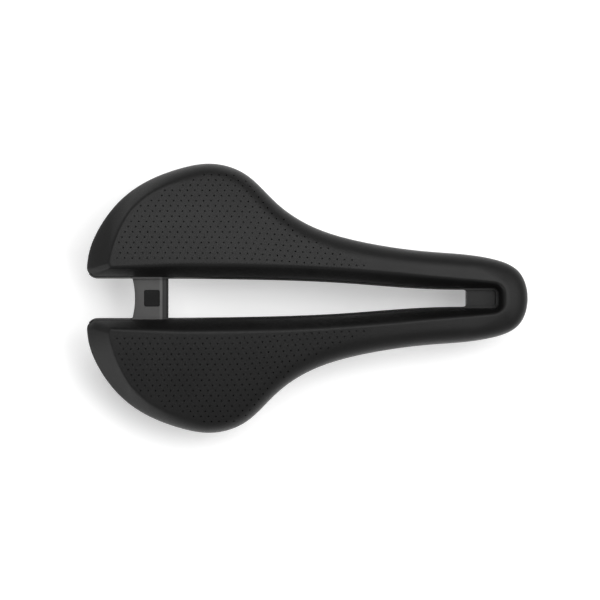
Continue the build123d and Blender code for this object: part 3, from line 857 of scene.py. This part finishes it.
# Foam pad: fills the cover down to the deck, with a hollow over each gel pad
foam = {
    "under": 1.4,
    "sharpAngle": 40.0,
    "pocketCentre": (-68.0, 43.0),
    "pocketRadii": (26.6, 17.6),
    "pocketRise": 5.3,
    "pocketSide": 0.12,           # share of the pocket taken by its sloping side
    "startRoom": 0.6,             # the pad begins where it can be this thick
    "thinnest": 0.4,
    "tries": 32,
    "triesClosing": 1.4,
    "columns": 21,
    "closing": 1.3,
    "slopeStep": 0.05,
}


def foamBottom(points):
    x, y = points[:, 0], points[:, 1]
    (cx, cy), (rx, ry) = foam["pocketCentre"], foam["pocketRadii"]
    inside = 1 - ((x - cx) / rx)**2 - ((y - cy) / ry)**2
    lift = foam["pocketRise"] * np.clip(inside / foam["pocketSide"], 0, 1)
    return deckHeight(x, y) + cover["gap"] + lift


def foamTop(points):
    h = foam["slopeStep"]
    z = coverHeight(points)
    dx = (coverHeight(points + (h, 0)) - coverHeight(points - (h, 0))) / (2 * h)
    dy = (coverHeight(points + (0, h)) - coverHeight(points - (0, h))) / (2 * h)
    return z - foam["under"] * np.sqrt(1 + dx * dx + dy * dy)


# How far in from the edge the pad begins, as a share of each row
def foamStart():
    least = foam["startRoom"]
    tries = np.linspace(0, 1, foam["tries"])**foam["triesClosing"]
    base = (edge[:, None, :] + across[:, None, :] * tries[None, :, None]).reshape(-1, 2)
    under = deckHeight(base[:, 0], base[:, 1]) + cover["gap"]
    start = []
    for room in (foamTop(base) - under).reshape(len(edge), -1):
        good = np.where(room > least)[0]
        first = good[0] if len(good) else len(tries) - 1
        if first:
            a, b = room[first - 1], room[first]
            part = np.clip((least - a) / (b - a), 0, 1)
            start.append(tries[first - 1] + (tries[first] - tries[first - 1]) * part)
        else:
            start.append(tries[0])
    return np.array(start)


def foamRows():
    start = foamStart()[:, None]
    t = (np.arange(foam["columns"]) / (foam["columns"] - 1))**foam["closing"]
    t = start + (1 - start) * t[None, :]
    base = (edge[:, None, :] + across[:, None, :] * t[..., None]).reshape(-1, 2)
    top = np.maximum(foamTop(base), foamBottom(base) + foam["thinnest"])
    upper = np.column_stack([base, top]).reshape(len(edge), -1, 3)
    lower = np.column_stack([base, foamBottom(base)]).reshape(len(edge), -1, 3)
    return np.concatenate([upper[:, ::-1], lower], axis=1)


grid = foamRows()
foamPiece = bothSides("foamPad", grid.reshape(-1, 3), gridFaces(len(edge), grid.shape[1]), padFoam)
smooth(foamPiece, foam["sharpAngle"])
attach(foamPiece, "saddle")
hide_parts("foam_pad")
print("foam made:", len(foamPiece.data.polygons), "faces")

# Rigid parts keep their own shapes and take their finishes
dressed = 0
for name, part in nodes.items():
    finish = next((made for key, made in finishes.items() if key in name), None)
    if finish:
        for socket in part.material_slots:
            socket.material = finish
        dressed += 1
print("finishes given to", dressed, "parts")

# Floor, lamps and camera, in metres
studio = {
    "floorGlow": 0.29,
    "farGlow": (0.75, 0.4),       # the floor is plain white from here outwards
    "floorHalf": 3.0,
    "floorDrop": 0.0005,
    "world": 0.15,
    "reach": 1.3,
    "lampSize": 0.9,
    "aim": (0.0, 0.0, 0.04),
}


def floorFinish():
    f = Finish("floorPaper")
    fibre = f.noise(300.0, 2.0)
    diffuse = f.node("ShaderNodeBsdfDiffuse",
                     sockets={"Color": f.blend(fibre, grey(0.88), grey(0.91))})
    near, far, none = [
        f.node("ShaderNodeEmission", sockets={"Color": grey(level), "Strength": strength})
        for level, strength in ((1.0, studio["floorGlow"]), (1.0, 1.0), (0.0, 0.0))]
    x, y, z = f.axes()
    distance = (x * x + y * y) ** 0.5
    glow = f.node("ShaderNodeMixShader",
                  sockets={0: distance.above(*studio["farGlow"]), 1: near, 2: far})
    chosen = f.node("ShaderNodeMixShader", sockets={0: f.shown(), 1: none, 2: glow})
    return f.done(f.node("ShaderNodeAddShader", sockets={0: diffuse, 1: chosen}))


floorMesh = bpy.data.meshes.new("floor")
floorCorners = [(x * studio["floorHalf"], y * studio["floorHalf"], -studio["floorDrop"])
                for x, y in ((-1, -1), (1, -1), (1, 1), (-1, 1))]
floorMesh.from_pydata(floorCorners, [], [(0, 1, 2, 3)])
floorMesh.materials.append(floorFinish())
floor = bpy.data.objects.new("floor", floorMesh)
scene.collection.objects.link(floor)

# The world is plain white behind the piece, and dimmer as a light
world = bpy.data.worlds.new("studio")
scene.world = world
world.use_nodes = True
sky = Nodes(world.node_tree)
strength = sky.node("ShaderNodeMapRange", sockets={0: sky.shown(), 3: studio["world"], 4: 1.0})
background = sky.node("ShaderNodeBackground", sockets={0: grey(1.0), 1: strength})
sky.node("ShaderNodeOutputWorld", sockets={0: background})

# Azimuth and elevation in degrees, and watts
lamps = {
    "lampNose": (0, 58, 9.5),
    "lampLeftNose": (45, 58, 3.5),
    "lampLeft": (90, 67, 8.5),
    "lampTail": (215, 14, 8.0),
}
aim = Vector(studio["aim"])
for name, (azimuth, elevation, watts) in lamps.items():
    data = bpy.data.lights.new(name, "AREA")
    data.shape = "SQUARE"
    data.size = studio["lampSize"]
    data.energy = watts
    lamp = bpy.data.objects.new(name, data)
    level, turn = radians(elevation), radians(azimuth)
    towards = Vector((cos(level) * cos(turn), cos(level) * sin(turn), sin(level)))
    lamp.location = aim + towards * studio["reach"]
    lamp.rotation_euler = (-towards).to_track_quat("-Z", "Y").to_euler()
    lamp.visible_camera = False
    scene.collection.objects.link(lamp)

# The width seen at the focus height, and its centre, in millimetres; the rest in metres
view = {
    "across": 339.1,
    "centre": (-4.28, -1.0),
    "height": 1.5,
    "focus": 0.042,
    "nearest": 0.05,
}
lens = bpy.data.cameras.new("camera")
lens.sensor_width = 36.0
lens.lens = lens.sensor_width * (view["height"] - view["focus"]) / (view["across"] * mm)
lens.clip_start = view["nearest"]
camera = bpy.data.objects.new("camera", lens)
camera.location = (view["centre"][0] * mm, view["centre"][1] * mm, view["height"])
scene.collection.objects.link(camera)
scene.camera = camera
scene.view_settings.view_transform = "Standard"
print("studio made")
